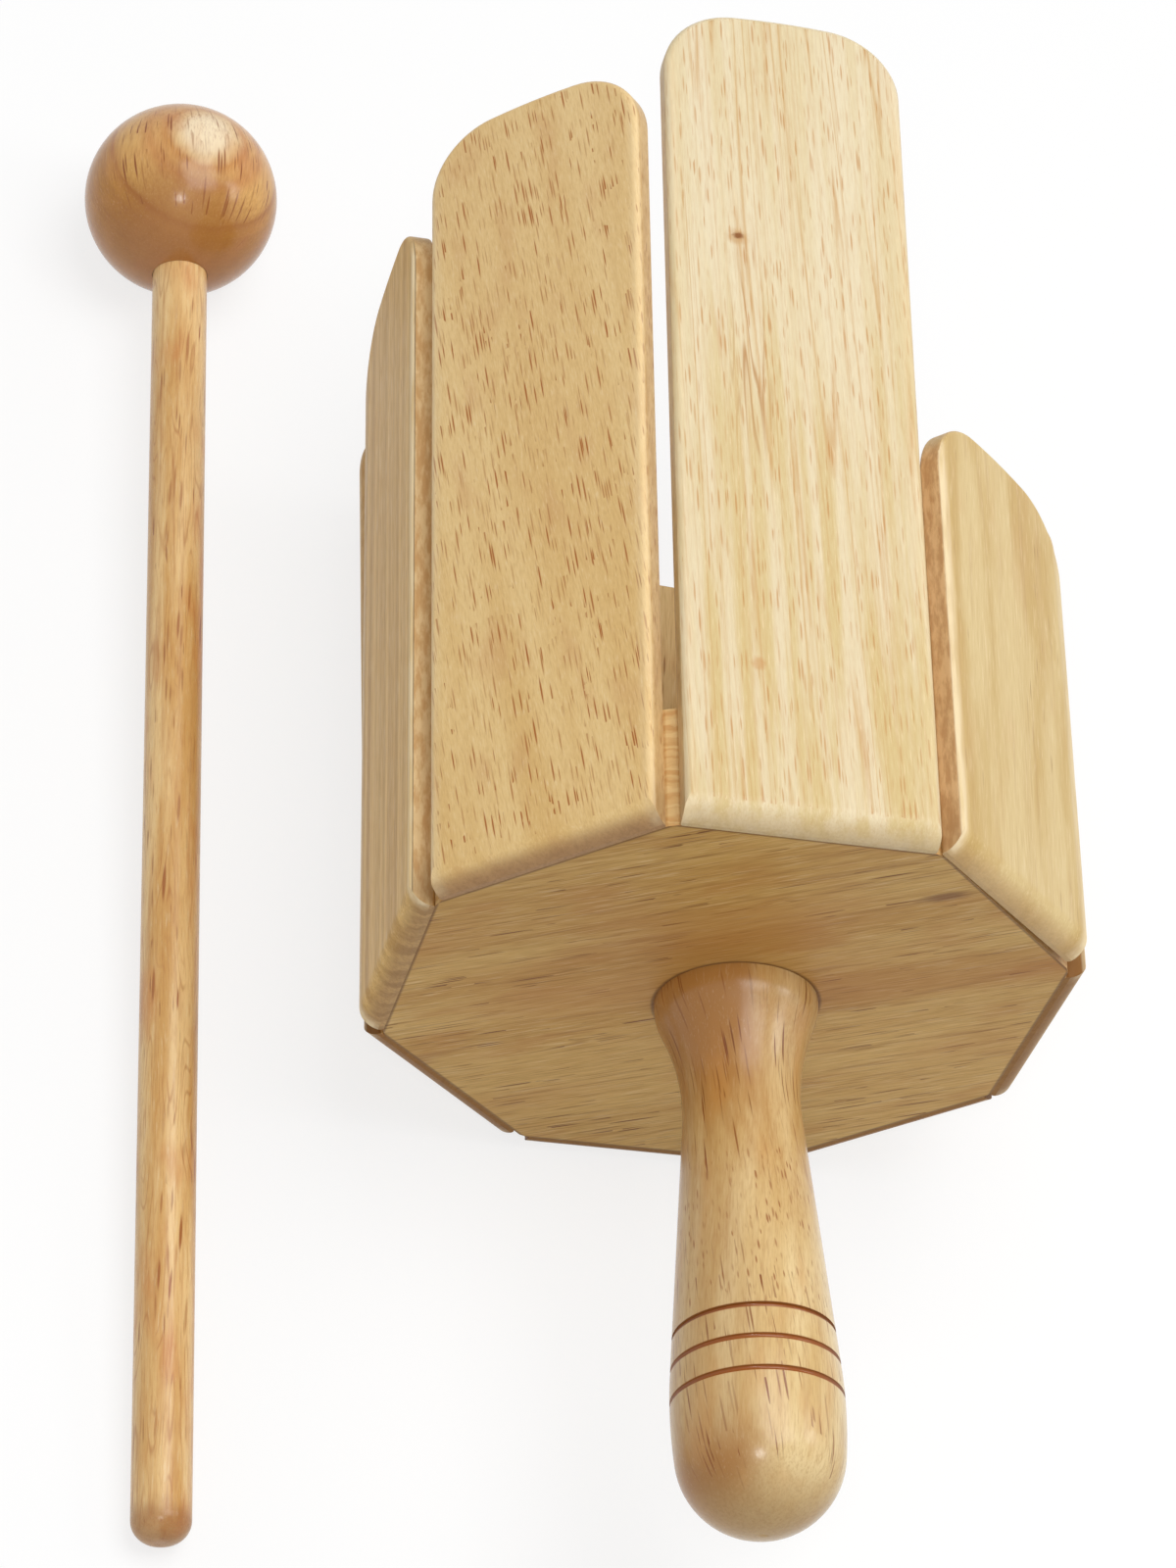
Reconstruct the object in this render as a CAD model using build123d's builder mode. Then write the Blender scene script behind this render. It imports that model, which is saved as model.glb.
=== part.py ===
from build123d import *
import os
from math import acos, asin, atan2, cos, hypot, radians, sin, sqrt, tan

# The drum lies on its fifth plank: its axis runs along +Y, from the handle to the open mouth.
# The origin is on the floor, under the middle of the base block.

# Base block, a regular octagonal prism that is as wide as the planks round it need
side_count = 8
base_thickness = 24.5
base_corner_break = 1.0

# Planks, glued to the sides of the base, each one step shorter than the one before
plank_width = 47.3
plank_gap = 2.4
plank_thickness = 4.8
longest_plank = 184.6
plank_step = 12.4
plank_corner_radius = 15.0
plank_crown = 2.0
plank_outer_round = 2.0
plank_inner_round = 0.7
foot_round_length = 4.8
foot_edge = 1.0
first_plank_angle = 90.0

# Made and glued by hand, by plank number: a sharper outer edge, how far it sits off its place sideways,
# how many degrees it is turned up about its left inner edge, and how many degrees it leans out
sharper_edge = {1: 1.3, 2: 1.4, 3: 0.9, 8: 0.9}
plank_slip = {4: 1.4, 7: 1.2, 8: -1.9}
plank_turn = {8: 1.3}
plank_lean = {4: 1.1}

# Handle, a turned piece whose tenon is glued into the base
handle_length = 107.1
handle_shift = 2.5
handle_lean = 1.05
flange_radius = 15.4
rim_at = 1.0
rim_curve = 11.0
neck_radius = 11.0
neck_at = 22.1
grip_radius = 15.8
grip_from_end = 23.1
grip_curve = 97.0
tenon_radius = 7.5
tenon_cover = 6.5
groove_radius = 0.5
groove_run = 14.8
groove_pitch = 6.35
groove_count = 3

# Mallet, a ball on a straight stick, lying on the floor beside the drum
head_radius = 20.25
mallet_gap = 15.75
mallet_along = 195.0
stick_radius = 5.7
stick_reach = 299.7
stick_seat = 22.0
butt_flat = 1.2
stick_heading = 1.37

# Room for glue in the two round joints
glue_gap = 0.1

side_angle = 360 / side_count
apothem = (plank_width + plank_gap) / 2 / tan(radians(side_angle / 2))
axis_height = apothem + plank_thickness
base_foot = Vector(0, -base_thickness / 2, axis_height)
tenon_length = base_thickness - tenon_cover


def turned_on(plane):
    """The line that a turned profile spins about: the profile's own upright axis."""
    return Axis(plane.origin, plane.y_dir)


# The handle stands on the base's foot face, a little off centre, and leans a little to one side
foot_face = Plane(origin=base_foot, x_dir=(1, 0, 0), z_dir=(0, -1, 0))
tenon_plane = Plane(origin=base_foot + Vector(handle_shift, 0, 0), x_dir=(1, 0, 0), z_dir=(0, 1, 0))
lean = radians(handle_lean)
handle_plane = Plane(origin=tenon_plane.origin, x_dir=(cos(lean), sin(lean), 0), z_dir=(0, 0, -1))

# Base block
with BuildPart() as base_block:
    with BuildSketch(foot_face):
        RegularPolygon(apothem, side_count, major_radius=False, rotation=side_angle / 2)
    extrude(amount=-base_thickness)
    chamfer(base_block.edges().filter_by(Axis.Y), base_corner_break)
    with BuildSketch(tenon_plane):
        Circle(tenon_radius + glue_gap)
    extrude(amount=tenon_length + glue_gap, mode=Mode.SUBTRACT)


# Planks
def build_plank(number):
    """One plank, flush with the base's foot face: rounded ends and edges outside, a flat face inside."""
    length = longest_plank - (number - 1) * plank_step
    angle = radians(first_plank_angle + (number - 1) * side_angle)
    square_out = Vector(cos(angle), 0, sin(angle))
    square_across = Vector(sin(angle), 0, -cos(angle))
    half_width = plank_width / 2
    turn = radians(plank_turn.get(number, 0))
    across = square_across * cos(turn) + square_out * sin(turn)
    left_edge = base_foot + square_out * apothem + square_across * (plank_slip.get(number, 0) - half_width)
    seat = left_edge + across * half_width
    tilt = radians(plank_lean.get(number, 0))
    outward = (square_out * cos(turn) - square_across * sin(turn)) * cos(tilt) - Vector(0, sin(tilt), 0)
    shoulder = length - plank_crown
    with BuildPart() as plank:
        with BuildSketch(Plane(origin=seat, x_dir=across, z_dir=outward)) as face:
            with BuildLine():
                foot = Line((-half_width, 0), (half_width, 0))
                right = Line(foot @ 1, (half_width, shoulder))
                top = ThreePointArc(right @ 1, (0, length), (-half_width, shoulder))
                Line(top @ 1, foot @ 0)
            make_face()
            fillet(face.vertices().sort_by(Axis.Y)[-2:], plank_corner_radius)
        extrude(amount=plank_thickness)
        through = Axis(seat, outward)
        outside = plank.faces().sort_by(through)[-1].edges().sort_by(Axis.Y)[1:]
        fillet(outside, sharper_edge.get(number, plank_outer_round))
        inside = plank.faces().sort_by(through)[0].edges().sort_by(Axis.Y)[1:]
        fillet(inside, plank_inner_round)
        with BuildSketch(Plane(origin=seat, x_dir=outward.cross(across), z_dir=across)):
            with BuildLine():
                shoulder_line = Line((0, plank_thickness), (foot_round_length, plank_thickness))
                TangentArc(shoulder_line @ 1, (0, foot_edge), tangent=(-1, 0))
                Line((0, foot_edge), shoulder_line @ 0)
            make_face()
        extrude(amount=plank_width, both=True, mode=Mode.SUBTRACT)
    return plank


# Handle: the rim rounds into the hollow neck, a straight taper runs on to the belly, and a dome ends it
flange_spare = flange_radius * tan(lean) + glue_gap
neck_drop = flange_radius - neck_radius
neck_curve = (neck_drop**2 + (neck_at - rim_at) ** 2) / (2 * neck_drop) - rim_curve
rim_centre = Vector(flange_radius - rim_curve, rim_at)
neck_centre = Vector(neck_radius + neck_curve, neck_at)
waist = rim_centre + (neck_centre - rim_centre) * (rim_curve / (rim_curve + neck_curve))

grip_at = handle_length - grip_from_end
grip_centre = Vector(grip_radius - grip_curve, grip_at)
centre_step = neck_centre - grip_centre
taper = atan2(-centre_step.Y, centre_step.X) - acos((neck_curve + grip_curve) / centre_step.length)
taper_side = Vector(cos(taper), -sin(taper))
taper_start = neck_centre - taper_side * neck_curve
taper_end = grip_centre + taper_side * grip_curve

end_round = (grip_centre.X**2 + grip_from_end**2 - grip_curve**2) / (2 * (grip_from_end - grip_curve))
end_centre = Vector(0, handle_length - end_round)
dome_start = grip_centre + (end_centre - grip_centre).normalized() * grip_curve


def groove_place(number):
    """A groove's centre on the belly of the handle."""
    off_belly = number * groove_pitch - groove_run
    return (grip_centre.X + sqrt(grip_curve**2 - off_belly**2), grip_at + off_belly)


with BuildPart() as handle:
    with BuildSketch(handle_plane):
        with BuildLine():
            flange = Line((0, -flange_spare), (flange_radius, -flange_spare))
            edge = Line(flange @ 1, (flange_radius, rim_at))
            rim = TangentArc(edge @ 1, waist, tangent=edge % 1)
            neck = TangentArc(rim @ 1, taper_start, tangent=rim % 1)
            flank = Line(neck @ 1, taper_end)
            belly = TangentArc(flank @ 1, dome_start, tangent=flank % 1)
            dome = TangentArc(belly @ 1, (0, handle_length), tangent=belly % 1)
            Line(dome @ 1, flange @ 0)
        make_face()
        with Locations(*[groove_place(number) for number in range(groove_count)]):
            Circle(groove_radius, mode=Mode.SUBTRACT)
    revolve(axis=turned_on(handle_plane))
    split(bisect_by=foot_face, keep=Keep.TOP)
    with BuildSketch(tenon_plane):
        Circle(tenon_radius)
    extrude(amount=tenon_length)

# Mallet: the ball and the edge of the butt both touch the floor, so the stick slopes down to its butt
butt_round = stick_radius - butt_flat
butt_reach = stick_reach - butt_round
slope = asin((head_radius - butt_round) / hypot(butt_reach, butt_flat)) - atan2(butt_flat, butt_reach)
heading = radians(stick_heading)
along_stick = Vector(sin(heading) * cos(slope), -cos(heading) * cos(slope), -sin(slope))
beside_stick = Vector(cos(heading), sin(heading), 0)
mallet_plane = Plane(
    origin=(-axis_height - mallet_gap - head_radius, mallet_along, head_radius),
    x_dir=beside_stick,
    z_dir=beside_stick.cross(along_stick),
)
socket_end = head_radius - stick_seat

with BuildPart() as mallet_head:
    with BuildSketch(mallet_plane):
        with BuildLine():
            ball = ThreePointArc((0, -head_radius), (head_radius, 0), (0, head_radius))
            Line(ball @ 1, ball @ 0)
        make_face()
    revolve(axis=turned_on(mallet_plane))
    with BuildSketch(mallet_plane):
        with Locations((0, socket_end - glue_gap)):
            Rectangle(stick_radius + glue_gap, 2 * head_radius, align=Align.MIN)
    revolve(axis=turned_on(mallet_plane), mode=Mode.SUBTRACT)

with BuildPart() as mallet_stick:
    with BuildSketch(mallet_plane) as stick_half:
        with Locations((0, socket_end)):
            Rectangle(stick_radius, stick_reach - socket_end, align=Align.MIN)
        fillet(stick_half.vertices().group_by(Axis.X)[-1].sort_by(Axis.Y)[-1:], butt_round)
    revolve(axis=turned_on(mallet_plane))

pieces = {
    "base_block": base_block,
    "handle": handle,
    "mallet_head": mallet_head,
    "mallet_stick": mallet_stick,
}
for number in range(1, side_count + 1):
    pieces[f"plank_{number}"] = build_plank(number)

os.makedirs("parts", exist_ok=True)
for name, piece in pieces.items():
    piece.part.label = name
    export_step(piece.part, f"parts/{name}.step")
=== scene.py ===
from math import cos, pi, radians, sin

import bpy
from mathutils import Euler, Matrix, Vector

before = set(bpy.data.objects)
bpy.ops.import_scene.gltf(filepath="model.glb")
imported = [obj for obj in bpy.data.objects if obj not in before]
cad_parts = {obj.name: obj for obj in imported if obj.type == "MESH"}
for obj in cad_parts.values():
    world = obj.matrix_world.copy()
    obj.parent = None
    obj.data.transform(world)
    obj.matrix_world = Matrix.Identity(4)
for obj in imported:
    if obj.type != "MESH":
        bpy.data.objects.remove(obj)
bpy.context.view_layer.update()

# The frame is in metres. Lengths here are in millimetres, apart from those of the floor, lamps and camera
MILLIMETRE = 0.001

# The part's own measures, in the shared frame
RIGHT = Vector((1, 0, 0))
TO_MOUTH = Vector((0, 1, 0))
UP = Vector((0, 0, 1))
APOTHEM = 59.993
BASE_FOOT = Vector((0, -12.25, 64.793))
PLANK_COUNT = 8
FIRST_PLANK_ANGLE = 90.0
SIDE_ANGLE = 45.0
PLANK_HALF_WIDTH = 23.65
PLANK_SLIP = {4: 1.4, 7: 1.2, 8: -1.9}
HANDLE_SHIFT = 2.5
HANDLE_LEAN = radians(1.05)
FLANGE_RADIUS = 15.4
GROOVES_AT = (69.2, 75.55, 81.9)
HEAD_CENTRE = Vector((-100.793, 195.0, 20.25))
HEAD_RADIUS = 20.25
STICK_HEADING = radians(1.37)
STICK_SLOPE = radians(2.83)
STICK_REACH = 299.7
STICK_RADIUS = 5.7

# How a screen stores a shade: its full value, and the offset and power of its curve
SCREEN_FULL = 255
SCREEN_OFFSET = 0.055
SCREEN_POWER = 2.4

# The sockets of a Mix node that take and give colours
MIX_AMOUNT = 0
MIX_A = 6
MIX_B = 7
MIX_RESULT = 2

# Noise runs from 0 to 1 about this
NOISE_MIDDLE = 0.5

# Pores: the smallest one's share of the full radius, the share of a pore that is dark right through, and how
# sharply a chance turns into a pore
PORE_SMALLEST = 0.55
PORE_CORE = 0.4
PORE_STEP = 0.04

# How far one piece's patch of noise lies from the next one's, and the size of the grain's slow waver
SEED_STEP = (37.3, 91.7, 53.9)
SWAY_SIZE = (45.0, 110.0)

# A mark's ragged edge: its size and depth as shares of the mark, and the share of the mark that is full
RAGGED_SIZE = 0.6
RAGGED_DEPTH = 0.7
MARK_CORE = 0.25

# Where the fibres' noise goes from smooth to rough
SHEEN_RANGE = (0.2, 0.8)


def paint(red, green, blue):
    """A colour as a screen shows it, 0 to 255, turned into the linear one that a shader takes."""
    shares = (red / SCREEN_FULL, green / SCREEN_FULL, blue / SCREEN_FULL)
    return tuple(((share + SCREEN_OFFSET) / (1 + SCREEN_OFFSET)) ** SCREEN_POWER for share in shares)


def is_socket(value):
    return isinstance(value, bpy.types.NodeSocket)


class Nodes:
    """The nodes of a material or a world, which starts with none."""

    def __init__(self, owner):
        owner.use_nodes = True
        self.tree = owner.node_tree
        self.tree.nodes.clear()

    def add(self, kind, inputs, **settings):
        """A new node: its inputs, by name or number, are linked to sockets or set to values."""
        node = self.tree.nodes.new(kind)
        for key, value in settings.items():
            setattr(node, key, value)
        for key, value in inputs.items():
            if is_socket(value):
                self.tree.links.new(value, node.inputs[key])
            else:
                node.inputs[key].default_value = value
        return node

    def math(self, operation, a, b=0.0):
        return self.add("ShaderNodeMath", {0: a, 1: b}, operation=operation).outputs[0]

    def shown(self):
        """1 for rays that show a surface to the camera, straight or in a reflection, and 0 for its light."""
        rays = self.add("ShaderNodeLightPath", {}).outputs
        straight_or_mirrored = self.math("MAXIMUM", rays["Is Camera Ray"], rays["Is Glossy Ray"])
        return self.math("MAXIMUM", straight_or_mirrored, rays["Is Transmission Ray"])

    def put_out(self, kind, lit, seen):
        """Ends the tree: one shader gives the light, and the other is what the camera sees."""
        mix = self.add("ShaderNodeMixShader", {0: self.shown(), 1: lit.outputs[0], 2: seen.outputs[0]})
        self.add(kind, {"Surface": mix.outputs[0]})


class Wood(Nodes):
    """The nodes of one wood material. Each method gives back the socket that carries its result."""

    def __init__(self, name):
        self.material = bpy.data.materials.new(name)
        super().__init__(self.material)

    def plus(self, a, b):
        return self.math("ADD", a, b)

    def times(self, a, *others):
        for other in others:
            a = self.math("MULTIPLY", a, other)
        return a

    def size(self, value):
        return self.math("ABSOLUTE", value)

    def larger(self, a, b):
        return self.math("MAXIMUM", a, b)

    def fade(self, value, low, high, to_low=0.0, to_high=1.0):
        """A smooth step: to_low where value is at low, to_high where it is at high."""
        inputs = {"Value": value, "From Min": low, "From Max": high, "To Min": to_low, "To Max": to_high}
        return self.add("ShaderNodeMapRange", inputs, interpolation_type="SMOOTHSTEP").outputs[0]

    def vector(self, operation, a, b):
        return self.add("ShaderNodeVectorMath", {0: a, 1: b}, operation=operation).outputs[0]

    def dot(self, a, b):
        return self.add("ShaderNodeVectorMath", {0: a, 1: b}, operation="DOT_PRODUCT").outputs["Value"]

    def length(self, a):
        return self.add("ShaderNodeVectorMath", {0: a}, operation="LENGTH").outputs["Value"]

    def split(self, vector):
        return self.add("ShaderNodeSeparateXYZ", {0: vector}).outputs[:]

    def join(self, x, y, z):
        return self.add("ShaderNodeCombineXYZ", {0: x, 1: y, 2: z}).outputs[0]

    def blend(self, amount, a, b):
        """Colour a where amount is 0, colour b where it is 1."""
        inputs = {MIX_AMOUNT: amount}
        for key, colour in ((MIX_A, a), (MIX_B, b)):
            inputs[key] = colour if is_socket(colour) else (*colour, 1.0)
        return self.add("ShaderNodeMix", inputs, data_type="RGBA").outputs[MIX_RESULT]

    def ramp(self, value, stops):
        """Colours by value: stops are pairs of a value and its colour, in rising order."""
        low, high = stops[0][0], stops[-1][0]
        share = self.times(self.plus(value, -low), 1 / (high - low))
        node = self.add("ShaderNodeValToRGB", {0: share})
        points = node.color_ramp.elements
        while len(points) < len(stops):
            points.new(1.0)
        for point, (at, colour) in zip(points, stops):
            point.position = (at - low) / (high - low)
            point.color = (*colour, 1.0)
        return node.outputs[0]

    def drawn_out(self, grain, across, along):
        """Coordinates in which across and along, in millimetres, are one step."""
        return self.vector("MULTIPLY", grain, (1 / across, 1 / along, 1 / across))

    def noise(self, grain, across, along, detail=2.0, rough=0.5):
        """Noise drawn out along the grain: across and along are its sizes in millimetres."""
        return self.add("ShaderNodeTexNoise", {
            "Vector": self.drawn_out(grain, across, along),
            "Scale": 1.0,
            "Detail": detail,
            "Roughness": rough,
        }).outputs[0]

    def swing(self, noise, reach):
        """Noise moved to swing about 0, over a reach in all."""
        return self.times(self.plus(noise, -NOISE_MIDDLE), reach)

    def bands(self, value, spacing):
        """Noise that only changes with one value, in steps of about the spacing."""
        inputs = {"W": value, "Scale": 1 / spacing, "Detail": 1.0}
        return self.add("ShaderNodeTexNoise", inputs, noise_dimensions="1D").outputs[0]

    def contours(self, value, count, width):
        """Thin lines where value crosses whole steps, count steps from 0 to 1."""
        half_step = 0.5
        return self.fade(self.math("PINGPONG", self.times(value, count), half_step), width, 0.0)

    def pores(self, grain, across, along, radius, share):
        """Open vessels as short dashes along the grain: (how much pore, a random number for each)."""
        cells = self.add("ShaderNodeTexVoronoi", {
            "Vector": self.drawn_out(grain, across, along),
            "Scale": 1.0,
            "Randomness": 1.0,
        })
        size_chance, dark_chance, here_chance = self.split(cells.outputs["Color"])
        size = self.fade(size_chance, 0.0, 1.0, PORE_SMALLEST * radius, radius)
        near = self.math("DIVIDE", cells.outputs["Distance"], size)
        here = self.fade(self.plus(here_chance, share), 1.0, 1.0 + PORE_STEP)
        return self.times(self.fade(near, 1.0, PORE_CORE), here), dark_chance

    def place(self, origin, axes):
        """A piece's own coordinates in millimetres: across the grain, along it, and through it."""
        turn = Matrix(axes)
        where = self.add("ShaderNodeTexCoord", {}).outputs["Object"]
        return self.add("ShaderNodeMapping", {
            "Vector": where,
            "Location": -(turn @ Vector(origin)),
            "Rotation": turn.to_euler("XYZ"),
            "Scale": (1 / MILLIMETRE,) * 3,
        }).outputs[0]

    def rolled_out(self, place, radius):
        """A turned piece's coordinates with its surface rolled out flat: round it and along it."""
        x, y, z = self.split(place)
        round_it = self.times(self.math("ARCTAN2", x, self.times(z, -1.0)), radius)
        return self.join(round_it, y, 0.0)

    def facing(self, axis):
        """How squarely the surface faces along an axis of the frame, from -1 to 1."""
        return self.dot(self.add("ShaderNodeTexCoord", {}).outputs["Normal"], axis)

    def grain(self, place, look, slant="slant"):
        """The piece's coordinates with the grain's slow waver and slant, shifted to a patch of its own."""
        shifted = self.vector("ADD", place, [look["seed"] * step for step in SEED_STEP])
        sway = self.noise(shifted, *SWAY_SIZE, detail=1.0)
        x, y, z = self.split(shifted)
        swayed = self.plus(x, self.swing(sway, 2 * look["wander"]))
        return self.join(self.plus(swayed, self.times(y, look[slant])), y, z)

    def spot(self, place, at, size):
        """A soft oval with a ragged edge: its place and its size, across the piece and along it."""
        width, length = size
        off = self.vector("SUBTRACT", place, (*at, 0))
        off = self.vector("MULTIPLY", off, (1 / width, 1 / length, 0))
        ragged = self.noise(place, width * RAGGED_SIZE, length * RAGGED_SIZE)
        return self.fade(self.plus(self.length(off), self.swing(ragged, RAGGED_DEPTH)), 1.0, MARK_CORE)

    def mark(self, colour, place, mark):
        """The colour with one of the wood's own marks on it."""
        amount = self.times(self.spot(place, mark["at"], mark["size"]), mark["strength"])
        return self.blend(amount, colour, mark["shade"])

    def flecks(self, colour, grain, flecks, share):
        """The colour with pores of another kind on it, some fainter than others."""
        fleck, chance = self.pores(grain, *flecks["size"], share)
        amount = self.times(fleck, self.fade(chance, 0.0, 1.0, *flecks["strength"]))
        return self.blend(amount, colour, flecks["shade"])

    def finish(self, colour, height, fibres, look):
        """The varnished surface: height is in millimetres, and the fibres make it smoother or rougher."""
        bump = self.add("ShaderNodeBump", {"Height": height, "Strength": 1.0, "Distance": MILLIMETRE})
        shader = self.add("ShaderNodeBsdfPrincipled", {
            "Base Color": colour,
            "Roughness": self.fade(fibres, *SHEEN_RANGE, *look["roughness"]),
            "Specular IOR Level": look["gloss"],
            "Normal": bump.outputs[0],
        })
        self.add("ShaderNodeOutputMaterial", {"Surface": shader.outputs[0]})
        return self.material


# What the wood looks like where a piece doesn't say otherwise: its colours, then sizes in millimetres across
# and along the grain (a pore's third number is its radius, as a share), then how strong each layer is
WOOD = {
    "pale": paint(226, 194, 138),
    "deep": paint(210, 172, 112),
    "tip": paint(240, 210, 156),
    "line": paint(172, 120, 64),
    "blush": paint(202, 146, 94),
    "pore": paint(150, 94, 44),
    "end": paint(204, 164, 112),
    "end_dark": paint(170, 128, 82),
    "side": paint(222, 180, 126),
    "side_dark": paint(194, 142, 92),
    # The paler colour of the ridges and of the fibres' gleam: wear with a painted highlight
    "worn_highlight": paint(246, 224, 182),
    "figure_size": (11.0, 150.0),
    "streak_size": (1.0, 50.0),
    "line_size": (9.0, 420.0),
    "line_break": (2.5, 22.0),
    "fibre_size": (0.32, 6.0),
    "pore_size": (0.7, 7.0, 0.5),
    "crowd_size": (4.0, 9.0),
    "slant": 0.04,
    "wander": 0.8,
    "tips": 0.15,
    "streaks": 0.3,
    "lines": 0.2,
    "fibres": 0.35,
    "blushes": 0.2,
    "gleams": 0.35,
    "pore_turn": 0.3,
    "pore_share": 0.4,
    "pores": 0.75,
    "ends": 0.6,
    "end_rings": 0.2,
    "sides": 0.5,
    "foot_shade": 0.4,
    "wear_and_highlight": 0.35,
    "roughness": (0.36, 0.5),
    "gloss": 0.35,
}

# The lower planks, whose foot ends are seen at the base's edge: their darker brown ends are end grain with
# painted shade, and more painted shade rises up their sides
BROWN_FOOT = {
    "end": paint(152, 106, 50),
    "end_dark": paint(124, 80, 32),
    "ends": 0.95,
    "foot_shade": 0.9,
    "gloss": 0.12,
}
PLANK_LOOKS = {
    1: {
        "pale": paint(225, 208, 171),
        "deep": paint(211, 187, 131),
        "tip": paint(236, 225, 196),
        "line": paint(194, 144, 76),
        "pore": paint(186, 124, 54),
        "end": paint(214, 188, 144),
        "end_dark": paint(184, 150, 106),
        "side": paint(228, 200, 150),
        "side_dark": paint(206, 168, 116),
        "figure_size": (3.4, 80.0),
        "streak_size": (0.5, 90.0),
        "line_size": (7.0, 420.0),
        "line_break": (3.0, 70.0),
        "fibre_size": (0.3, 4.0),
        "pore_size": (0.52, 7.0, 0.52),
        "crowd_size": (5.0, 20.0),
        "slant": 0.03,
        "wander": 0.6,
        "tips": 0.45,
        "lines": 0.5,
        "fibres": 0.2,
        "blushes": 0.05,
        "pore_share": 0.7,
        "pores": 0.65,
    },
    2: {
        "pale": paint(237, 203, 140),
        "deep": paint(226, 187, 120),
        "line": paint(186, 134, 74),
        "pore": paint(168, 92, 18),
        "end": paint(180, 138, 92),
        "end_dark": paint(142, 102, 64),
        "side": paint(212, 184, 140),
        "side_dark": paint(184, 146, 102),
        "fibre_size": (0.3, 2.2),
        "pore_size": (0.54, 8.4, 0.52),
        "crowd_size": (9.0, 6.0),
        "slant": 0.15,
        "tips": 0.4,
        "streaks": 0.1,
        "lines": 0.0,
        "fibres": 0.25,
        "blushes": 0.3,
        "pore_share": 1.0,
        "pores": 0.95,
        "ends": 0.95,
    },
    3: {
        "pale": paint(234, 195, 120),
        "deep": paint(203, 159, 85),
        "end": paint(196, 158, 106),
        "end_dark": paint(146, 108, 68),
        "side": paint(236, 206, 156),
        "side_dark": paint(208, 162, 110),
        "figure_size": (3.4, 400.0),
        "slant": 0.0,
        "wander": 0.5,
        "streaks": 0.2,
        "lines": 0.05,
        "fibres": 0.4,
        "blushes": 0.05,
        "pore_share": 0.1,
        "pores": 0.5,
        "ends": 0.9,
        "end_rings": 0.6,
        "sides": 0.8,
        "wear_and_highlight": 0.9,
        "gloss": 0.2,
    },
    4: BROWN_FOOT,
    5: BROWN_FOOT,
    6: BROWN_FOOT,
    7: BROWN_FOOT,
    8: {
        "pale": paint(219, 193, 136),
        "deep": paint(202, 169, 102),
        "side": paint(222, 180, 132),
        "side_dark": paint(186, 136, 92),
        "figure_size": (9.0, 60.0),
        "streak_size": (2.5, 90.0),
        "slant": -0.03,
        "streaks": 0.1,
        "fibres": 0.15,
        "blushes": 0.1,
        "pore_share": 0.1,
        "pores": 0.5,
        "sides": 0.75,
        "wear_and_highlight": 0.85,
    },
}

# Where each layer's noise starts to show, and where it shows in full
FIGURE_RANGE = (0.36, 0.64)
STREAK_RANGE = (0.48, 0.74)
LINE_BREAK_RANGE = (0.42, 0.6)
FIBRE_RANGE = (0.44, 0.74)
BLUSH_RANGE = (0.52, 0.74)
GLEAM_RANGE = (0.46, 0.24)
CROWD_RANGE = (0.32, 0.58)

# Numbers that the layers of every piece share
FULL_PORE_TURN = 0.4
LINE_COUNT = 14.0
LINE_WIDTH = 0.16
BLUSH_SIZE = (7.0, 20.0)
CROWD_LEAST = 0.4
PORE_FAINTEST = 0.35
PORE_DEPTH = 0.01
FIBRE_HEIGHT = 0.012


def tinted(wood, look, amount, tint):
    """The look with its pale and deep wood turned into a tint by an amount."""
    return look | {shade: wood.blend(amount, look[shade], tint) for shade in ("pale", "deep")}


def wood_layers(wood, grain, look, axis, colour=None, pore_grain=None):
    """The layers that every piece has: figure, streaks, lines, fibres, blushes, gleams and pores.

    Gives back the colour, the height in millimetres and the fibres' noise. The axis is the grain's own,
    because pores show where the surface runs along it. A colour given takes the figure's place, and pores
    can lie in coordinates of their own.
    """
    pore_grain = pore_grain or grain
    turn = wood.size(wood.facing(axis))
    flat = wood.fade(turn, look["pore_turn"], FULL_PORE_TURN * look["pore_turn"])
    if colour is None:
        figure = wood.fade(wood.noise(grain, *look["figure_size"]), *FIGURE_RANGE)
        colour = wood.blend(figure, look["pale"], look["deep"])
    streaks = wood.noise(grain, *look["streak_size"], detail=3.0, rough=0.62)
    streaks = wood.fade(streaks, *STREAK_RANGE, 0.0, look["streaks"])
    colour = wood.blend(streaks, colour, look["line"])
    lines = wood.contours(wood.noise(grain, *look["line_size"], detail=1.0), LINE_COUNT, LINE_WIDTH)
    broken = wood.fade(wood.noise(grain, *look["line_break"], detail=1.0), *LINE_BREAK_RANGE)
    colour = wood.blend(wood.times(lines, broken, flat, look["lines"]), colour, look["line"])
    fibres = wood.noise(grain, *look["fibre_size"], rough=0.65)
    colour = wood.blend(wood.fade(fibres, *FIBRE_RANGE, 0.0, look["fibres"]), colour, look["line"])
    blush = wood.fade(wood.noise(grain, *BLUSH_SIZE), *BLUSH_RANGE, 0.0, look["blushes"])
    colour = wood.blend(blush, colour, look["blush"])
    gleam = wood.fade(fibres, *GLEAM_RANGE, 0.0, look["gleams"])
    colour = wood.blend(gleam, colour, look["worn_highlight"])
    crowd = wood.noise(pore_grain, *look["crowd_size"], detail=1.0)
    crowd = wood.fade(crowd, *CROWD_RANGE, CROWD_LEAST, 1.0)
    share = wood.times(crowd, flat, look["pore_share"])
    pore, chance = wood.pores(pore_grain, *look["pore_size"], share)
    dark = wood.times(pore, wood.fade(chance, 0.0, 1.0, PORE_FAINTEST, 1.0))
    colour = wood.blend(wood.times(dark, look["pores"]), colour, look["pore"])
    height = wood.plus(wood.times(dark, -PORE_DEPTH), wood.times(fibres, FIBRE_HEIGHT))
    return colour, height, fibres


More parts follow.
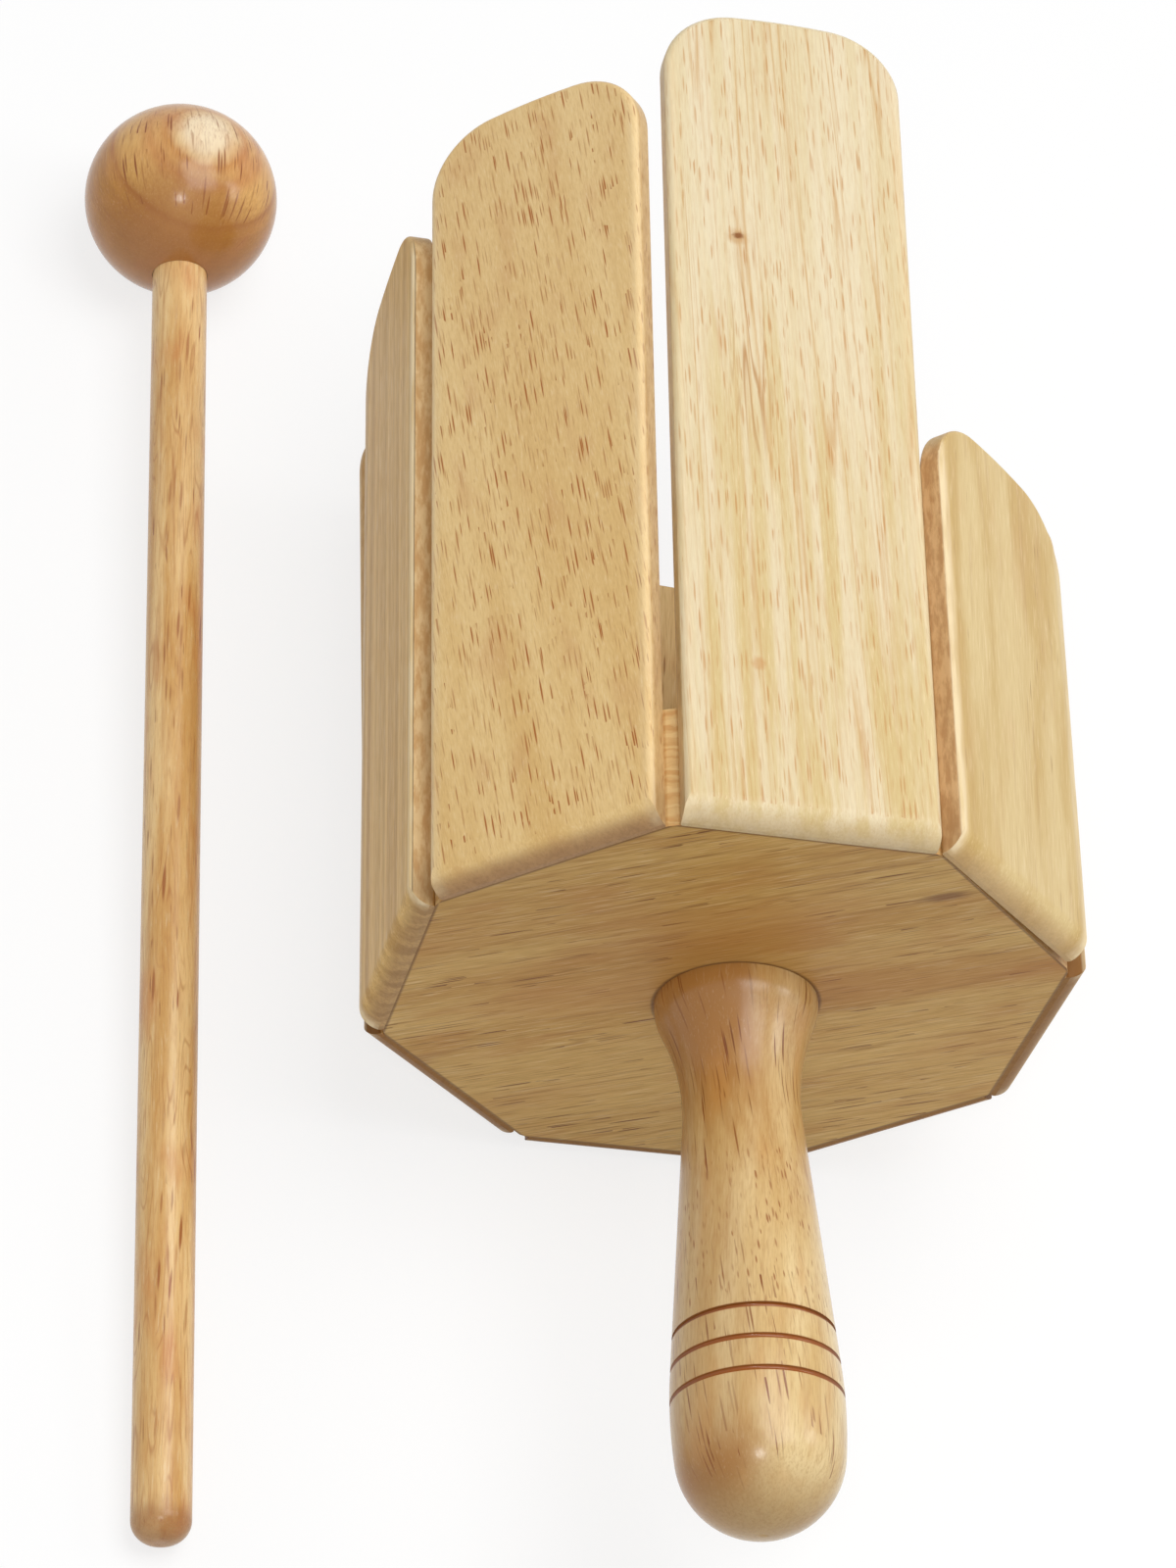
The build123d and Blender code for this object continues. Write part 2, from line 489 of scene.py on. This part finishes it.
# End grain: how the rings slant and wave, their spacing, its speckle, and how squarely it is cut
RING_SLANT = 0.6
RING_WAVE = 3.0
RING_WAVE_SIZE = (3.0, 3.0)
RING_SPACING = 3.0
SPECKLE_SIZE = (0.6, 2.5)
SPECKLE_RANGE = (0.4, 0.7)
SPECKLES = 0.4
END_RANGE = (0.35, 0.95)


def end_grain(wood, grain, look, colour, axis):
    """Darker wood where the surface cuts across the grain, speckled with pores and banded by its rings."""
    x, _, z = wood.split(grain)
    wave = wood.times(wood.noise(grain, *RING_WAVE_SIZE), RING_WAVE)
    bent = wood.plus(wood.plus(x, wood.times(z, RING_SLANT)), wave)
    rings = wood.fade(wood.bands(bent, RING_SPACING), *FIGURE_RANGE, 0.0, look["end_rings"])
    speckle = wood.fade(wood.noise(grain, *SPECKLE_SIZE, rough=0.6), *SPECKLE_RANGE, 0.0, SPECKLES)
    cut = wood.blend(rings, look["end"], look["end_dark"])
    cut = wood.blend(speckle, cut, look["end_dark"])
    amount = wood.fade(wood.size(wood.facing(axis)), *END_RANGE, 0.0, look["ends"])
    return wood.blend(amount, colour, cut)


def plank_frame(number):
    """A plank's origin at the foot of its inner face, and its axes: across, along and outward."""
    angle = radians(FIRST_PLANK_ANGLE + SIDE_ANGLE * (number - 1))
    outward = Vector((cos(angle), 0, sin(angle)))
    across = Vector((sin(angle), 0, -cos(angle)))
    origin = BASE_FOOT + outward * APOTHEM + across * PLANK_SLIP.get(number, 0)
    return origin, (across, TO_MOUTH, outward)


# A plank's sides: the sawn wood's mottle, the painted shade that rises from the foot, and the paler ridges,
# hand-sanded, with a painted highlight
MOTTLE_SIZE = (1.3, 5.0)
SAWN_RANGE = (0.8, 0.98)
FOOT_SHADE_HEIGHTS = (12.0, 3.0)
FOOT_SHADE_SIDE_RANGE = (0.5, 0.9)
RIDGE_FROM = PLANK_HALF_WIDTH - 3.4
RIDGE_TO = PLANK_HALF_WIDTH - 0.4
RIDGE_RANGE = (0.15, 0.5)
RIDGE_NOISE_SIZE = (2.0, 16.0)
RIDGE_NOISE_RANGE = (0.3, 0.6)
RIDGE_LEAST = 0.5
RIDGE_DEPTH = 0.35


def plank_edges(wood, place, grain, look, colour, height, axes):
    """Sawn sides that face the gaps, with painted shade near the foot, and the paler ridges beside them,
    sanded down by hand and given a painted highlight.

    Gives back the colour and the height.
    """
    across, _, outward = axes
    side = wood.size(wood.facing(across))
    mottle = wood.fade(wood.noise(grain, *MOTTLE_SIZE, detail=3.0, rough=0.65), *FIGURE_RANGE)
    sawn = wood.blend(mottle, look["side"], look["side_dark"])
    colour = wood.blend(wood.fade(side, *SAWN_RANGE, 0.0, look["sides"]), colour, sawn)
    off_centre, up, _ = wood.split(place)
    # Painted shade: the sides darken towards the foot, where the gaps meet the base
    foot_shade = wood.times(wood.fade(up, *FOOT_SHADE_HEIGHTS, 0.0, look["foot_shade"]), wood.fade(side, *FOOT_SHADE_SIDE_RANGE))
    colour = wood.blend(foot_shade, colour, look["end_dark"])
    # The ridges turn paler: wear, and a painted highlight where the rounded edges face outward
    ridge = wood.fade(wood.size(off_centre), RIDGE_FROM, RIDGE_TO)
    ridge = wood.times(ridge, wood.fade(wood.facing(outward), *RIDGE_RANGE))
    ridge_unevenness = wood.fade(wood.noise(grain, *RIDGE_NOISE_SIZE), *RIDGE_NOISE_RANGE, RIDGE_LEAST * look["wear_and_highlight"], look["wear_and_highlight"])
    colour = wood.blend(wood.times(ridge, ridge_unevenness), colour, look["worn_highlight"])
    return colour, wood.plus(height, wood.times(ridge, -RIDGE_DEPTH * look["wear_and_highlight"]))


# The longest plank's knots, the upper one with a halo, and the fine lines that run down from it
KNOTS = (
    {"at": (-10.5, 129.5), "size": (2.8, 2.6), "strength": 0.6, "shade": paint(190, 142, 82)},
    {"at": (-10.3, 129.9), "size": (1.5, 1.1), "strength": 1.0, "shade": paint(136, 84, 36)},
    {"at": (-9.3, 33.1), "size": (2.0, 2.0), "strength": 0.6, "shade": paint(196, 142, 80)},
)
KNOT_GRAIN = {"seed": 3.0, "wander": 0.8, "slant": 0.0}
KNOT_LINES = {
    "at": (-8.5, 102.0),
    "size": (5.5, 32.0),
    "wave_size": (4.0, 90.0),
    "count": 9.0,
    "width": 0.2,
    "strength": 0.75,
    "shade": paint(176, 122, 60),
}


def knotted(wood, place, colour):
    """The longest plank's colour with its two small knots and the fine lines below the upper one."""
    waves = wood.noise(wood.grain(place, KNOT_GRAIN), *KNOT_LINES["wave_size"], detail=1.0)
    lines = wood.contours(waves, KNOT_LINES["count"], KNOT_LINES["width"])
    lines = wood.times(lines, wood.spot(place, KNOT_LINES["at"], KNOT_LINES["size"]))
    colour = wood.blend(wood.times(lines, KNOT_LINES["strength"]), colour, KNOT_LINES["shade"])
    for knot in KNOTS:
        colour = wood.mark(colour, place, knot)
    return colour


# How far up a plank its wood starts to turn paler, and where it is palest
TIP_RANGE = (20.0, 190.0)


def plank_material(number):
    """One plank: paler towards its tip, with end grain, sawn sides and rubbed ridges."""
    wood = Wood(f"plank_wood_{number}")
    look = WOOD | PLANK_LOOKS[number] | {"seed": number}
    origin, axes = plank_frame(number)
    along = axes[1]
    place = wood.place(origin, axes)
    grain = wood.grain(place, look)
    to_tip = wood.fade(wood.split(place)[1], *TIP_RANGE, 0.0, look["tips"])
    look = tinted(wood, look, to_tip, look["tip"])
    colour, height, fibres = wood_layers(wood, grain, look, along)
    if number == 1:
        colour = knotted(wood, place, colour)
    colour = end_grain(wood, grain, look, colour, along)
    colour, height = plank_edges(wood, place, grain, look, colour, height, axes)
    return wood.finish(colour, height, fibres, look)


BASE_LOOK = {
    "pale": paint(214, 175, 103),
    "deep": paint(200, 156, 84),
    "line": paint(140, 90, 38),
    "blush": paint(182, 122, 56),
    "pore": paint(112, 62, 20),
    "side": paint(224, 192, 134),
    "side_dark": paint(206, 158, 98),
    "figure_size": (12.0, 300.0),
    "streak_size": (0.8, 140.0),
    "fibre_size": (0.3, 7.0),
    "pore_size": (0.62, 14.0, 0.5),
    "seed": 11,
    "slant": 0.0,
    "wander": 1.0,
    "streaks": 0.25,
    "lines": 0.4,
    "blushes": 0.35,
    "pore_share": 0.75,
    "pores": 0.95,
    "sides": 0.9,
    "roughness": (0.42, 0.56),
    "gloss": 0.3,
}
BASE_GRAIN_TURN = radians(30.0)
BASE_PATCH_SIZE = (24.0, 90.0)
BASE_PATCH_RANGE = (0.45, 0.7)
BASE_PATCHES = 0.5

# A broad brown streak, and the long knot at its end
BASE_MARKS = (
    {"at": (26.0, 8.0), "size": (12.0, 42.0), "strength": 0.5, "shade": paint(186, 130, 66)},
    {"at": (25.1, 48.7), "size": (2.0, 7.0), "strength": 0.75, "shade": paint(124, 78, 40)},
)

# The saw's marks on the sides of the base
SAW_SIDE_RANGE = (0.7, 0.3)
SAW_RAGGED_SIZE = (1.5, 3.0)
SAW_RAGGED = 2.5
SAW_SPACING = 1.6
SAW_RANGE = (0.35, 0.65)
SAW_HEIGHT = 0.08

# Glue lines on the underside: along the planks, and round the handle's rim
GLUE_SIDE_RANGE = (0.3, 0.7)
GLUE = 0.7
PLANK_GLUE_RANGE = (APOTHEM - 0.7, APOTHEM - 0.2)
PLANK_GLUE = paint(104, 66, 34)
RIM_GLUE_RANGE = (FLANGE_RADIUS + 0.9, FLANGE_RADIUS + 0.2)
RIM_GLUE = paint(96, 58, 28)


def glued(wood, x, z, colour):
    """The base's colour with its glue lines, from the place across the underside."""
    under = wood.fade(wood.facing(-TO_MOUTH), *GLUE_SIDE_RANGE, 0.0, GLUE)
    far = wood.larger(wood.size(x), wood.size(z))
    for corner in (wood.plus(x, z), wood.math("SUBTRACT", x, z)):
        far = wood.larger(far, wood.times(wood.size(corner), cos(radians(SIDE_ANGLE))))
    line = wood.times(wood.fade(far, *PLANK_GLUE_RANGE), under)
    colour = wood.blend(line, colour, PLANK_GLUE)
    from_handle = wood.length(wood.join(wood.plus(x, -HANDLE_SHIFT), 0.0, z))
    line = wood.times(wood.fade(from_handle, *RIM_GLUE_RANGE), under)
    return wood.blend(line, colour, RIM_GLUE)


def base_material():
    """The base block: grain across its underside, and sawn sides that the gaps between the planks show."""
    wood = Wood("base_wood")
    look = WOOD | BASE_LOOK
    along = Vector((cos(BASE_GRAIN_TURN), 0, sin(BASE_GRAIN_TURN)))
    across = Vector((-sin(BASE_GRAIN_TURN), 0, cos(BASE_GRAIN_TURN)))
    place = wood.place(BASE_FOOT, (across, along, across.cross(along)))
    grain = wood.grain(place, look)
    colour, height, fibres = wood_layers(wood, grain, look, along)
    patch = wood.noise(grain, *BASE_PATCH_SIZE, detail=1.0)
    patch = wood.fade(patch, *BASE_PATCH_RANGE, 0.0, BASE_PATCHES)
    colour = wood.blend(patch, colour, look["blush"])
    for mark in BASE_MARKS:
        colour = wood.mark(colour, place, mark)

    x, y, z = wood.split(wood.place(BASE_FOOT, (RIGHT, TO_MOUTH, UP)))
    sawn = wood.fade(wood.size(wood.facing(TO_MOUTH)), *SAW_SIDE_RANGE)
    ragged = wood.times(wood.noise(grain, *SAW_RAGGED_SIZE), SAW_RAGGED)
    marks = wood.bands(wood.plus(y, ragged), SAW_SPACING)
    side = wood.blend(wood.fade(marks, *SAW_RANGE), look["side"], look["side_dark"])
    colour = wood.blend(wood.times(sawn, look["sides"]), colour, side)
    height = wood.plus(height, wood.times(sawn, marks, SAW_HEIGHT))

    colour = glued(wood, x, z, colour)
    return wood.finish(colour, height, fibres, look)


HANDLE_LOOK = {
    "pale": paint(232, 206, 152),
    "deep": paint(213, 178, 116),
    "brown": paint(168, 114, 52),
    "blush": paint(204, 146, 78),
    "pore": paint(128, 62, 10),
    "groove": paint(150, 80, 12),
    "end": paint(192, 156, 102),
    "end_dark": paint(162, 120, 66),
    "figure_size": (8.0, 60.0),
    "fibre_size": (0.35, 4.0),
    "pore_size": (0.68, 12.0, 0.5),
    "crowd_size": (7.0, 12.0),
    "seed": 12,
    "slant": 0.06,
    "rolled_slant": -0.12,
    "wander": 1.5,
    "streaks": 0.25,
    "lines": 0.15,
    "blushes": 0.35,
    "gleams": 0.12,
    "pore_turn": 0.8,
    "pores": 1.0,
    "ends": 0.8,
    "roughness": (0.19, 0.27),
    "gloss": 0.42,
}

# The handle's pores, by how far down from its rim they lie: more from the belly on, fine long ones on the
# neck, and short flecks about the middle. Then its grooves, from their edge to their middle
HANDLE_PORES_DOWN = (58.0, 68.0)
HANDLE_PORE_SHARES = (0.5, 1.0)
HANDLE_LINES = {"size": (0.75, 12.0, 0.46), "strength": (0.35, 0.9), "shade": paint(116, 58, 14)}
HANDLE_LINES_DOWN = (46.0, 20.0)
HANDLE_LINE_SHARE = 0.7
HANDLE_FLECKS = {"size": (0.75, 3.0, 0.5), "strength": (0.4, 0.9), "shade": paint(154, 94, 44)}
HANDLE_MIDDLE = 52.0
HANDLE_FLECKS_OFF = (26.0, 12.0)
HANDLE_FLECK_SHARE = 0.55
GROOVE_RANGE = (0.7, 0.35)

# The handle's painted shade, a brown tint on the neck and down the left side: how uneven it is, where its
# edge down the left side lies and drifts to, and how far it reaches down the neck and over the dome
BROWN_SIZE = (6.0, 22.0)
BROWN_EDGE = (5.0, -4.0)
BROWN_EDGE_UNEVEN = 6.0
BROWN_DRIFT_DOWN = (20.0, 55.0)
BROWN_DRIFT = (-2.0, 1.5)
BROWN_NECK_DOWN = (92.0, 38.0)
BROWN_NECK_UNEVEN = 60.0
BROWN_NECK_SHARES = (0.4, 0.95)
BROWN_DOME_DOWN = (84.0, 101.0)
BROWN_DOME_SHARES = (0.3, 1.0)


def handle_shade(wood, across, down, rolled):
    """How much painted shade turns the handle brown: most at the neck, and down the left side to the dome.
    """
    uneven = wood.noise(rolled, *BROWN_SIZE)
    drifted = wood.plus(across, wood.fade(down, *BROWN_DRIFT_DOWN, *BROWN_DRIFT))
    left = wood.fade(wood.plus(drifted, wood.times(uneven, BROWN_EDGE_UNEVEN)), *BROWN_EDGE)
    neck = wood.fade(wood.plus(down, wood.times(uneven, BROWN_NECK_UNEVEN)), *BROWN_NECK_DOWN)
    neck = wood.times(neck, wood.fade(left, 0.0, 1.0, *BROWN_NECK_SHARES))
    dome = wood.times(left, wood.fade(down, *BROWN_DOME_DOWN, *BROWN_DOME_SHARES))
    return wood.larger(neck, dome)


def handle_material():
    """The handle: turned, with pores that run down it, end grain on its dome and three burnt grooves."""
    wood = Wood("handle_wood")
    along = Vector((sin(HANDLE_LEAN), -cos(HANDLE_LEAN), 0))
    across = Vector((cos(HANDLE_LEAN), sin(HANDLE_LEAN), 0))
    origin = BASE_FOOT + RIGHT * HANDLE_SHIFT
    place = wood.place(origin, (across, along, across.cross(along)))
    across_it, down, _ = wood.split(place)
    look = WOOD | HANDLE_LOOK
    look["pore_share"] = wood.fade(down, *HANDLE_PORES_DOWN, *HANDLE_PORE_SHARES)
    grain = wood.grain(place, look)
    rolled = wood.grain(wood.rolled_out(place, FLANGE_RADIUS), look, "rolled_slant")
    # Painted shade: the neck and the left side down to the dome are tinted brown
    look = tinted(wood, look, handle_shade(wood, across_it, down, rolled), look["brown"])
    colour, height, fibres = wood_layers(wood, grain, look, along, pore_grain=rolled)
    upper = wood.fade(down, *HANDLE_LINES_DOWN, 0.0, HANDLE_LINE_SHARE)
    colour = wood.flecks(colour, rolled, HANDLE_LINES, upper)
    off_middle = wood.size(wood.plus(down, -HANDLE_MIDDLE))
    middle = wood.fade(off_middle, *HANDLE_FLECKS_OFF, 0.0, HANDLE_FLECK_SHARE)
    colour = wood.flecks(colour, rolled, HANDLE_FLECKS, middle)
    colour = end_grain(wood, grain, look, colour, along)
    for at in GROOVES_AT:
        off = wood.size(wood.plus(down, -at))
        colour = wood.blend(wood.fade(off, *GROOVE_RANGE), colour, look["groove"])
    return wood.finish(colour, height, fibres, look)


def mallet_axes():
    """Across the stick, along it to its butt, and down."""
    level = Vector((sin(STICK_HEADING), -cos(STICK_HEADING), 0))
    along = level * cos(STICK_SLOPE) - UP * sin(STICK_SLOPE)
    across = Vector((cos(STICK_HEADING), sin(STICK_HEADING), 0))
    return across, along, across.cross(along)


HEAD_LOOK = {
    "line": paint(164, 102, 54),
    "blush": paint(192, 116, 70),
    "pore": paint(140, 72, 24),
    "fine": paint(160, 100, 48),
    "blotch": paint(212, 150, 90),
    "patch": paint(146, 84, 28),
    "end": paint(186, 132, 78),
    "end_dark": paint(168, 114, 64),
    "fibre_size": (0.35, 4.0),
    "pore_size": (0.72, 9.0, 0.5),
    "crowd_size": (9.0, 9.0),
    "seed": 13,
    "slant": 0.05,
    "rolled_slant": -0.05,
    "wander": 1.5,
    "streaks": 0.35,
    "lines": 0.0,
    "blushes": 0.35,
    "gleams": 0.12,
    "pore_turn": 1.0,
    "pores": 1.0,
    "roughness": (0.17, 0.24),
    "gloss": 0.4,
}

# The ball's growth rings, from its underside at -1 to its top at 1, its palest top partly a painted
# highlight, and which way its top and its painted shade lie
HEAD_RINGS = (
    (-1.0, paint(172, 114, 42)),
    (0.2, paint(188, 128, 48)),
    (0.42, paint(202, 142, 58)),
    (0.48, paint(182, 118, 46)),
    (0.53, paint(222, 170, 90)),
    (0.72, paint(228, 178, 104)),
    (0.8, paint(212, 152, 86)),
    (0.86, paint(222, 170, 100)),
    (0.9, paint(210, 152, 84)),
    # Painted highlight: the top's palest stops carry the key lamp's sheen over the pale wood
    (0.935, paint(238, 204, 150)),
    (0.97, paint(250, 228, 190)),
    (1.0, paint(252, 232, 196)),
)
HEAD_POLE = Vector((0.12, 0.16, 0.98)).normalized()
HEAD_SHADE_SIDE = Vector((-0.10, -0.80, 0.59)).normalized()

# The ball's finer marks, on the same scale from -1 to 1: pores towards the top, the rings' waver, fine rings
# that are strongest below, soft blotches, and the brown painted shade beside the stick
HEAD_PORE_HEIGHTS = (0.2, 0.55)
HEAD_PORE_SHARES = (0.1, 1.5)
HEAD_WAVER_SIZE = (9.0, 18.0)
HEAD_WAVER = 0.09
FINE_WAVER = 0.5
FINE_SPACING = 0.07
FINE_RANGE = (0.35, 0.7)
FINE_HEIGHTS = (0.6, 0.35)
FINE_SHARES = (0.06, 0.3)
BLOTCH_SIZE = (6.0, 9.0)
BLOTCH_RANGE = (0.42, 0.66)
BLOTCHES = 0.3
SHADE_WAVER = 2.0
SHADE_RANGE = (0.6, 0.97)
SHADES = 0.6


def head_height(wood, place, axes, direction):
    """How far a place on the ball lies in a direction of the frame, from -1 to 1."""
    local = Vector([direction.dot(axis) for axis in axes])
    return wood.times(wood.dot(place, local), 1 / HEAD_RADIUS)


def head_material():
    """The ball: growth rings round a pale top, partly a painted highlight, with a brown painted shade beside
    the stick.
    """
    wood = Wood("mallet_head_wood")
    axes = mallet_axes()
    along = axes[1]
    place = wood.place(HEAD_CENTRE, axes)
    high = head_height(wood, place, axes, HEAD_POLE)
    look = WOOD | HEAD_LOOK
    look["pore_share"] = wood.fade(high, *HEAD_PORE_HEIGHTS, *HEAD_PORE_SHARES)
    grain = wood.grain(place, look)
    rolled = wood.grain(wood.rolled_out(place, HEAD_RADIUS), look, "rolled_slant")
    waver = wood.swing(wood.noise(grain, *HEAD_WAVER_SIZE), HEAD_WAVER)
    rings = wood.ramp(wood.plus(high, waver), HEAD_RINGS)
    fine = wood.bands(wood.plus(high, wood.times(waver, FINE_WAVER)), FINE_SPACING)
    fine = wood.times(wood.fade(fine, *FINE_RANGE), wood.fade(high, *FINE_HEIGHTS, *FINE_SHARES))
    rings = wood.blend(fine, rings, look["fine"])
    blotch = wood.fade(wood.noise(grain, *BLOTCH_SIZE), *BLOTCH_RANGE, 0.0, BLOTCHES)
    rings = wood.blend(blotch, rings, look["blotch"])
    # Painted shade: the side of the ball beside the stick is turned brown
    toward_shade = head_height(wood, place, axes, HEAD_SHADE_SIDE)
    patch = wood.plus(toward_shade, wood.times(waver, SHADE_WAVER))
    rings = wood.blend(wood.fade(patch, *SHADE_RANGE, 0.0, SHADES), rings, look["patch"])
    colour, height, fibres = wood_layers(wood, grain, look, along, rings, rolled)
    colour = end_grain(wood, grain, look, colour, along)
    return wood.finish(colour, height, fibres, look)


STICK_LOOK = {
    "pale": paint(239, 202, 141),
    "deep": paint(214, 165, 97),
    "line": paint(176, 110, 56),
    "blush": paint(204, 130, 72),
    "pore": paint(146, 80, 36),
    "butt": paint(160, 104, 58),
    "figure_size": (5.0, 60.0),
    "streak_size": (1.2, 30.0),
    "line_size": (5.0, 48.0),
    "line_break": (4.0, 16.0),
    "fibre_size": (0.35, 5.0),
    "pore_size": (0.62, 8.0, 0.5),
    "seed": 14,
    "slant": 0.01,
    "rolled_slant": 0.04,
    "wander": 1.2,
    "streaks": 0.4,
    "lines": 0.5,
    "blushes": 0.5,
    "pore_turn": 0.8,
    "pore_share": 0.3,
    "pores": 0.7,
    "roughness": (0.24, 0.34),
    "gloss": 0.4,
}
STICK_FLECKS = {"size": (1.1, 12.0, 0.46), "strength": (0.4, 0.9), "shade": paint(158, 88, 38)}
STICK_FLECK_SHARE = 0.12

# The stick's darker butt: where it starts and is in full, its ragged edge, and how dark it is
BUTT_RANGE = (STICK_REACH - 7.0, STICK_REACH - 2.0)
BUTT_RAGGED_SIZE = (4.0, 4.0)
BUTT_RAGGED = 3.0
BUTT = 0.65


def stick_material():
    """The stick: straight grain with long flecks, and a butt that is darker from handling."""
    wood = Wood("mallet_stick_wood")
    look = WOOD | STICK_LOOK
    axes = mallet_axes()
    place = wood.place(HEAD_CENTRE, axes)
    grain = wood.grain(place, look)
    colour, height, fibres = wood_layers(wood, grain, look, axes[1])
    rolled = wood.grain(wood.rolled_out(place, STICK_RADIUS), look, "rolled_slant")
    colour = wood.flecks(colour, rolled, STICK_FLECKS, STICK_FLECK_SHARE)
    ragged = wood.times(wood.noise(place, *BUTT_RAGGED_SIZE), BUTT_RAGGED)
    butt = wood.fade(wood.plus(wood.split(place)[1], ragged), *BUTT_RANGE, 0.0, BUTT)
    colour = wood.blend(butt, colour, look["butt"])
    return wood.finish(colour, height, fibres, look)


def dress(node, material):
    """Gives a CAD node one material."""
    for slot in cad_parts[node].material_slots:
        slot.link = "OBJECT"
        slot.material = material


def build_looks():
    """Gives every CAD node its own wood."""
    for number in range(1, PLANK_COUNT + 1):
        dress(f"plank_{number}", plank_material(number))
    dress("base_block", base_material())
    dress("handle", handle_material())
    dress("mallet_head", head_material())
    dress("mallet_stick", stick_material())


# The room's light, and the floor: its colour, the share of its shading that the camera sees, the glow that
# makes up for the rest, and how far it reaches in metres
FILL = 0.38
FLOOR_COLOUR = 0.8
FLOOR_SHARE = 0.3
FLOOR_GLOW = 0.76
FLOOR_REACH = 6.0


def grey(level):
    return (level, level, level, 1)


def build_world():
    """A plain white room: it lights softly, and looks white to the camera and in reflections."""
    world = bpy.data.worlds.new("studio")
    bpy.context.scene.world = world
    nodes = Nodes(world)
    lit = nodes.add("ShaderNodeBackground", {"Color": grey(1), "Strength": FILL})
    seen = nodes.add("ShaderNodeBackground", {"Color": grey(1), "Strength": 1.0})
    nodes.put_out("ShaderNodeOutputWorld", lit, seen)


def build_floor():
    """A pale floor: it lights as a plain one does, and the camera sees it near white, with its shadow."""
    mesh = bpy.data.meshes.new("floor")
    corners = [(-1, -1), (1, -1), (1, 1), (-1, 1)]
    mesh.from_pydata([(x * FLOOR_REACH, y * FLOOR_REACH, 0) for x, y in corners], [], [(0, 1, 2, 3)])
    floor = bpy.data.objects.new("floor", mesh)
    bpy.context.scene.collection.objects.link(floor)
    material = bpy.data.materials.new("floor")
    nodes = Nodes(material)
    plain = nodes.add("ShaderNodeBsdfDiffuse", {"Color": grey(FLOOR_COLOUR)})
    shaded = nodes.add("ShaderNodeBsdfDiffuse", {"Color": grey(FLOOR_COLOUR * FLOOR_SHARE)})
    glow = nodes.add("ShaderNodeEmission", {"Strength": FLOOR_GLOW})
    shown = nodes.add("ShaderNodeAddShader", {0: shaded.outputs[0], 1: glow.outputs[0]})
    nodes.put_out("ShaderNodeOutputMaterial", plain, shown)
    mesh.materials.append(material)


# What the lamps point at, and for each lamp its name, its direction from there, its distance and size in
# metres, and its level
LAMP_AIM = Vector((-0.02, 0.05, 0.05))
LAMPS = (
    ("key", (0.15, 0.05, 0.95), 1.2, 0.8, 0.58),
    ("flash", (-0.21, -0.50, 0.84), 1.1, 0.11, 0.13),
    ("right_softbox", (0.79, 0.02, 0.60), 1.0, 0.3, 0.13),
)


def build_lamp(name, direction, distance, size, level):
    """A square soft lamp: level is how bright it alone makes a white face that is turned to it."""
    light = bpy.data.lights.new(name, "AREA")
    light.size = size
    light.energy = level * pi * pi * distance**2
    lamp = bpy.data.objects.new(name, light)
    toward = Vector(direction).normalized()
    lamp.location = LAMP_AIM + toward * distance
    lamp.rotation_euler = toward.to_track_quat("Z", "Y").to_euler()
    bpy.context.scene.collection.objects.link(lamp)


# The camera that was fitted to the photo: its place in metres and its turn in degrees
CAMERA_PLACE = (-0.225272, -0.481459, 0.869663)
CAMERA_TURN = (32.18568, -13.84225, -1.09762)
CAMERA_SENSOR = 36.0
CAMERA_LENS = 117.466
CAMERA_SHIFT = (-0.02676, -0.00785)
CAMERA_NEAREST = 0.01


def build_camera():
    """The camera at the photo's view."""
    camera = bpy.data.cameras.new("camera")
    camera.sensor_width = CAMERA_SENSOR
    camera.lens = CAMERA_LENS
    camera.shift_x, camera.shift_y = CAMERA_SHIFT
    camera.clip_start = CAMERA_NEAREST
    holder = bpy.data.objects.new("camera", camera)
    holder.location = CAMERA_PLACE
    holder.rotation_euler = Euler([radians(angle) for angle in CAMERA_TURN], "XYZ")
    bpy.context.scene.collection.objects.link(holder)
    bpy.context.scene.camera = holder


build_looks()
build_world()
build_floor()
for lamp in LAMPS:
    build_lamp(*lamp)
build_camera()
bpy.context.scene.view_settings.view_transform = "Standard"
